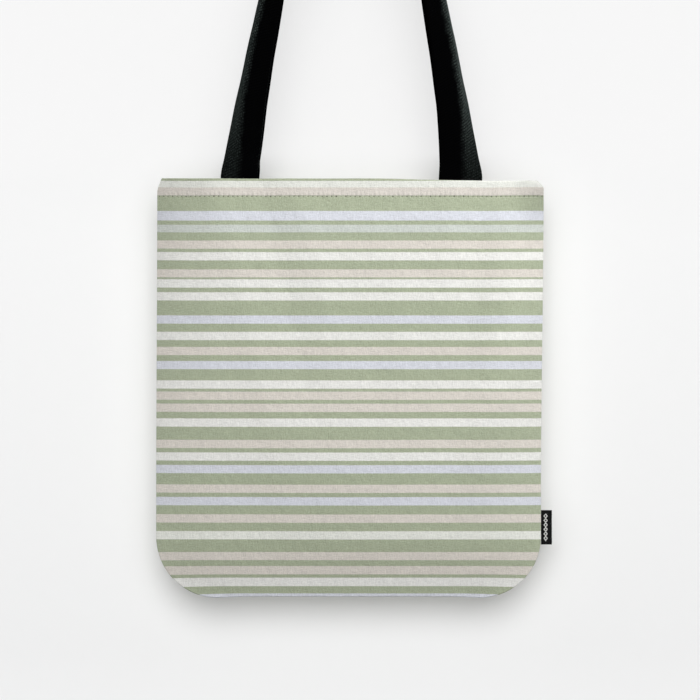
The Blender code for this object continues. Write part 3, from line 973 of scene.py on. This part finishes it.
def build_box_stitches(name, hand, side, folds, material):
    """A stitched rectangle with both diagonals, through the webbing's tail and the hem."""
    wide, high = 0.0155, 0.0050
    middle_x = hand * (HANDLE_ROUTE[0][1] * MM + (STRAP_OUTER - STRAP_INNER) / 2)
    middle_z = HEM - 0.009
    corners = [(-wide, -high), (wide, -high), (wide, high), (-wide, high)]
    lines = list(zip(corners, corners[1:] + corners[:1]))
    lines += [(corners[0], corners[2]), (corners[1], corners[3])]
    runs = []
    pitch, share = 0.0026, 0.82
    for (x0, z0), (x1, z1) in lines:
        start, end = Vector((x0, 0.0, z0)), Vector((x1, 0.0, z1))
        count = max(1, round((end - start).length / pitch))
        for k in range(count):
            ends = []
            for step in ((k + (1 - share) / 2) / count, (k + (1 + share) / 2) / count):
                at = start.lerp(end, step)
                x, z = middle_x + at.x, middle_z + at.z
                y = STRAP_Y - STRAP_THICKNESS / 2 - THREAD_RADIUS * 0.6
                y += float(soft_folds(np.array(x), np.array(HEM - z), folds))
                ends.append(Vector((x, y * side, z)))
            runs.append(stitch_run(*ends, Vector((0.0, -side, 0.0)), 2 * THREAD_RADIUS))
    return stitches(name, runs, THREAD_RADIUS, material)


# The side label

def seam_x(drop):
    """The right seam's edge at a drop below the hem."""
    x, _, _, _ = cloth_point(np.array(1.0), np.array(BAG_HEIGHT - drop), 0.0, ())
    return float(x) + FOLD_RADIUS * (1 - sin(SEAM_TILT)) + CANVAS / 2


def build_label(material):
    """A tab of label tape: folded at its outer edge, with both ends caught in the seam."""
    root = seam_x(LABEL_DROP) + 0.0002
    tape = 0.00034
    straight = LABEL_WIDTH - LABEL_THICKNESS / 2
    bend = (LABEL_THICKNESS - tape) / 2
    front = [(root + share * straight, bend, share * LABEL_WIDTH) for share in np.linspace(0, 1, 10)]
    turned = [(root + straight + bend * sin(turn), bend * cos(turn), LABEL_WIDTH)
              for turn in np.linspace(0, pi, 9)[1:-1]]
    run = front + turned + [(x, -y, across) for x, y, across in reversed(front)]
    heights = np.linspace(-0.5, 0.5, 25) * LABEL_HEIGHT
    points, places = [], []
    for dz in heights:
        for x, y, across in run:
            bow = 0.00025 * sin(dz / LABEL_HEIGHT * pi * 2.2 + 0.6) * (x - root) / LABEL_WIDTH
            points.append((x + 0.00008 * sin(dz * 2600), -y + bow, HEM - LABEL_DROP + dz))
            places.append((across, LABEL_START - dz))
    faces = grid_faces(len(heights), len(run))
    thing = new_piece("side_label_tab", points, faces, places, (material,))
    thicken(thing, tape)
    return thing


# Build the bag

printed_canvas = canvas("printed_canvas", True)
raw_canvas = canvas("raw_canvas", False)
black_webbing = webbing(handle_length())
sage_thread = thread("sage_thread", SAGE_THREAD)
natural_thread = thread("natural_thread", NATURAL_THREAD)
black_thread = thread("black_thread", BLACK_THREAD)
label_material = label_weave()

for near, side, folds in (("front", -1, FRONT_FOLDS), ("back", 1, BACK_FOLDS)):
    panel = build_panel(f"{near}_panel_cloth", side, folds, printed_canvas, raw_canvas)
    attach(panel, "bag")
    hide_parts(f"{near}_panel")
    if near == "front":
        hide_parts("seam_allowance")
    hem = build_hem_stitches(f"{near}_hem_stitches", side, folds, sage_thread)
    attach(hem, "bag")
    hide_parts(f"{near}_hem_thread")
    handle, start, end = build_handle(f"{near}_handle_webbing", side, folds, black_webbing)
    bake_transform(handle)
    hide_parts(f"{near}_handle", f"{near}_left_strap_end", f"{near}_right_strap_end")
    for hand, word in ((-1, "left"), (1, "right")):
        box = build_box_stitches(f"{near}_{word}_box_stitches", hand, side, folds, black_thread)
        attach(box, "bag")
        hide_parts(f"{near}_{word}_box_stitch")

seam = build_seam_stitches(natural_thread)
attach(seam, "bag")
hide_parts("seam_thread")
overlock = build_overlock(natural_thread)
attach(overlock, "bag")
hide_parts("overlock_thread")
label = build_label(label_material)
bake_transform(label)
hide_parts("side_label")


# Stage, light and camera

CURVE = 0.30                # radius between wall and floor
STAGE_HALF = 2.2
STAGE_FRONT = -3.2
STAGE_TOP = 1.3
WHITE = (1.0, 1.0, 1.0)
AIM_DROP = 0.17             # what the lamps look at, below the hem
CAMERA_PLACE = (-0.0005, -2.42, HEM - 0.1682)
CAMERA_LENS = 125.8


def build_stage():
    """A pale wall close behind the bag that curves into a pale floor."""
    profile = [(STAGE_FRONT, FLOOR_Z), (WALL_Y - CURVE, FLOOR_Z)]
    for k in range(1, 17):
        turn = pi / 2 * k / 16
        profile.append((WALL_Y - CURVE + CURVE * sin(turn), FLOOR_Z + CURVE * (1 - cos(turn))))
    profile.append((WALL_Y, STAGE_TOP))
    points = [(x, y, z) for y, z in profile for x in (-STAGE_HALF, STAGE_HALF)]
    places = [(x, y) for x, y, _ in points]
    card = new_piece("backdrop", points, grid_faces(len(profile), 2), places, (backdrop(),))
    card.visible_diffuse = False
    card.visible_glossy = False
    card.visible_shadow = False
    return card


def aim_light(name, kind, azimuth, elevation, distance):
    """A lamp that looks at the middle of the bag from an angle."""
    data = bpy.data.lights.new(name, kind)
    turn, rise = radians(azimuth), radians(elevation)
    away = Vector((sin(turn) * cos(rise), -cos(turn) * cos(rise), sin(rise)))
    lamp = bpy.data.objects.new(name, data)
    lamp.location = Vector((0.0, 0.0, HEM - AIM_DROP)) + away * distance
    lamp.rotation_euler = away.to_track_quat("Z", "Y").to_euler()
    lamp.visible_camera = False
    bpy.context.scene.collection.objects.link(lamp)
    return lamp


def keep_to(lamp, card, state):
    """Let a lamp light the card only (INCLUDE), or everything but the card (EXCLUDE)."""
    group = bpy.data.collections.new(lamp.name + "_reach")
    group.objects.link(card)
    group.collection_objects[0].light_linking.link_state = state
    lamp.light_linking.receiver_collection = group


def soft_light(name, card, azimuth, elevation, distance, size, level):
    """A round soft light for the bag. level is what it adds to a surface that faces it, as a
    share of the surface's own colour."""
    lamp = aim_light(name, "AREA", azimuth, elevation, distance)
    lamp.data.shape = "DISK"
    lamp.data.size = size
    lamp.data.energy = level * (pi * distance) ** 2
    keep_to(lamp, card, "EXCLUDE")


def wall_light(name, card, azimuth, elevation, angle, level):
    """An even light for the backdrop alone, on which the bag casts its soft shadow."""
    lamp = aim_light(name, "SUN", azimuth, elevation, 2.0)
    lamp.data.angle = radians(angle)
    lamp.data.energy = level * pi
    keep_to(lamp, card, "INCLUDE")


def build_world(shown, given):
    """Near-white where the camera sees past the stage, and an even soft light on the bag."""
    world = bpy.data.worlds.new("studio")
    nodes = Nodes(world)
    nodes.tree.nodes.clear()
    seen = nodes.value("ShaderNodeBackground", {"Color": rgba(shown)})
    light = nodes.value("ShaderNodeBackground", {"Color": rgba(WHITE), "Strength": given})
    camera_ray = nodes.value("ShaderNodeLightPath", output="Is Camera Ray")
    mixed = nodes.value("ShaderNodeMixShader", {0: camera_ray, 1: light, 2: seen})
    nodes.join(mixed, nodes.add("ShaderNodeOutputWorld").inputs["Surface"])
    bpy.context.scene.world = world


def build_camera():
    data = bpy.data.cameras.new("camera")
    data.sensor_width = 36.0
    data.lens = CAMERA_LENS
    data.clip_end = 50.0
    camera = bpy.data.objects.new("camera", data)
    camera.location = CAMERA_PLACE
    camera.rotation_euler = (pi / 2, 0.0, 0.0)
    bpy.context.scene.collection.objects.link(camera)
    bpy.context.scene.camera = camera


card = build_stage()
build_world(shown=AROUND, given=0.18)
for name, azimuth, elevation, angle, level in (
        ("wall_light", 0, 27, 40, 0.398),
        ("wide_wall_light", 0, 10, 80, 0.456)):
    wall_light(name, card, azimuth, elevation, angle, level)
for name, azimuth, elevation, distance, size, level in (
        ("key_light", 32, 30, 1.5, 1.1, 0.83),
        ("top_light", 15, 50, 1.4, 1.0, 0.42),
        ("left_light", -50, -12, 2.0, 1.4, 0.09),
        ("low_light", 0, -65, 1.6, 1.0, 0.17),
        ("right_side_light", 85, 5, 1.6, 0.8, 0.08),
        ("left_side_light", -85, 5, 1.6, 0.8, 0.30),
        ("back_light", 160, 30, 2.2, 1.6, 0.95)):
    soft_light(name, card, azimuth, elevation, distance, size, level)
build_camera()
bpy.context.scene.view_settings.view_transform = "Standard"
